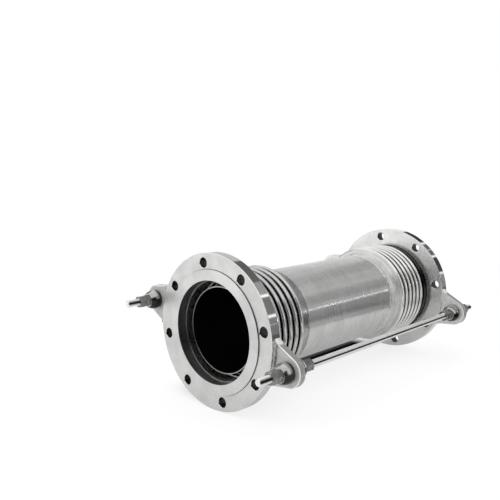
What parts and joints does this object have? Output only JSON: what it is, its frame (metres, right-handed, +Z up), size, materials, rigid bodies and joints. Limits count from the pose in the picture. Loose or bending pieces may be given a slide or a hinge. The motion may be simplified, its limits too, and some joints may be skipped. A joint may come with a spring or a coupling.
{
  "type": "tied lateral expansion joint",
  "caption": "Flanged metal bellows at both ends of a pipe, tied by rods in ball seats, so that the pipe ends can shift sideways while the length stays fixed.",
  "frame": {"origin": "centre of the joint: on the pipe axis, halfway between the two sealing faces", "axes": "+X along the pipe axis from the near flange (outlet) to the far flange (inlet); +Z up, with the joint lying on its flange rims; the tie-rod plane slopes 11.7 degrees against the floor, its +Y side up"},
  "size_m": [0.8506, 0.4616, 0.335],
  "materials": {
    "turned_flange": "finely turned stainless steel",
    "turned_collar": "turned and polished stainless steel",
    "formed_bellows": "bright rolled stainless sheet, formed into convolutions",
    "satin_pipe": "satin stainless plate, rolled and seam welded",
    "liner_sheet": "mill-finish stainless sheet",
    "cut_lug": "pale blasted stainless plate",
    "rod_steel": "drawn bright stainless bar",
    "polished_cup": "turned and polished stainless steel",
    "nut_steel": "dull stainless steel"
  },
  "bodies": {
    "near_end": {"near_flange": "turned_flange", "near_collar": "turned_collar", "near_left_lug": "cut_lug", "near_right_lug": "cut_lug", "near_bellows": "formed_bellows", "near_left_outer_seat": "polished_cup", "near_left_inner_seat": "polished_cup", "near_right_outer_seat": "polished_cup", "near_right_inner_seat": "polished_cup"},
    "middle": {"centre_pipe": "satin_pipe", "outlet_liner": "liner_sheet"},
    "far_end": {"far_flange": "turned_flange", "far_collar": "turned_collar", "far_left_lug": "cut_lug", "far_right_lug": "cut_lug", "far_bellows": "formed_bellows", "inlet_liner": "liner_sheet", "far_left_outer_seat": "polished_cup", "far_left_inner_seat": "polished_cup", "far_right_outer_seat": "polished_cup", "far_right_inner_seat": "polished_cup"},
    "tie_rods": {"left_tie_rod": "rod_steel", "right_tie_rod": "rod_steel", "near_left_outer_cup": "polished_cup", "near_left_outer_nut": "nut_steel", "near_left_outer_locknut": "nut_steel", "near_left_inner_cup": "polished_cup", "near_left_inner_nut": "nut_steel", "near_left_inner_locknut": "nut_steel", "near_right_outer_cup": "polished_cup", "near_right_outer_nut": "nut_steel", "near_right_outer_locknut": "nut_steel", "near_right_inner_cup": "polished_cup", "near_right_inner_nut": "nut_steel", "near_right_inner_locknut": "nut_steel", "far_left_outer_cup": "polished_cup", "far_left_outer_nut": "nut_steel", "far_left_outer_locknut": "nut_steel", "far_left_inner_cup": "polished_cup", "far_left_inner_nut": "nut_steel", "far_left_inner_locknut": "nut_steel", "far_right_outer_cup": "polished_cup", "far_right_outer_nut": "nut_steel", "far_right_outer_locknut": "nut_steel", "far_right_inner_cup": "polished_cup", "far_right_inner_nut": "nut_steel", "far_right_inner_locknut": "nut_steel"}
  },
  "joints": [
    {"name": "near_bellows_bend", "type": "hinge", "parent": "near_end", "child": "middle", "pos_m": [-0.2515, 0, 0], "axis": [0, 0.9792, 0.2028], "range_deg": [-4, 4], "stiffness_Nm_per_rad": 4000, "deforming": ["near_bellows"]},
    {"name": "far_bellows_bend", "type": "hinge", "parent": "middle", "child": "far_end", "pos_m": [0.2515, 0, 0], "axis": [0, 0.9792, 0.2028], "range_deg": [-4, 4], "stiffness_Nm_per_rad": 4000, "deforming": ["far_bellows"]},
    {"name": "tie_rod_swing", "type": "hinge", "parent": "near_end", "child": "tie_rods", "pos_m": [-0.336, 0, 0], "axis": [0, 0.9792, 0.2028], "range_deg": [-3, 3]}
  ],
  "couplings": [
    {"joint": "far_bellows_bend", "follows": "near_bellows_bend", "ratio": -1},
    {"joint": "tie_rod_swing", "follows": "near_bellows_bend", "ratio": 0.74851}
  ]
}
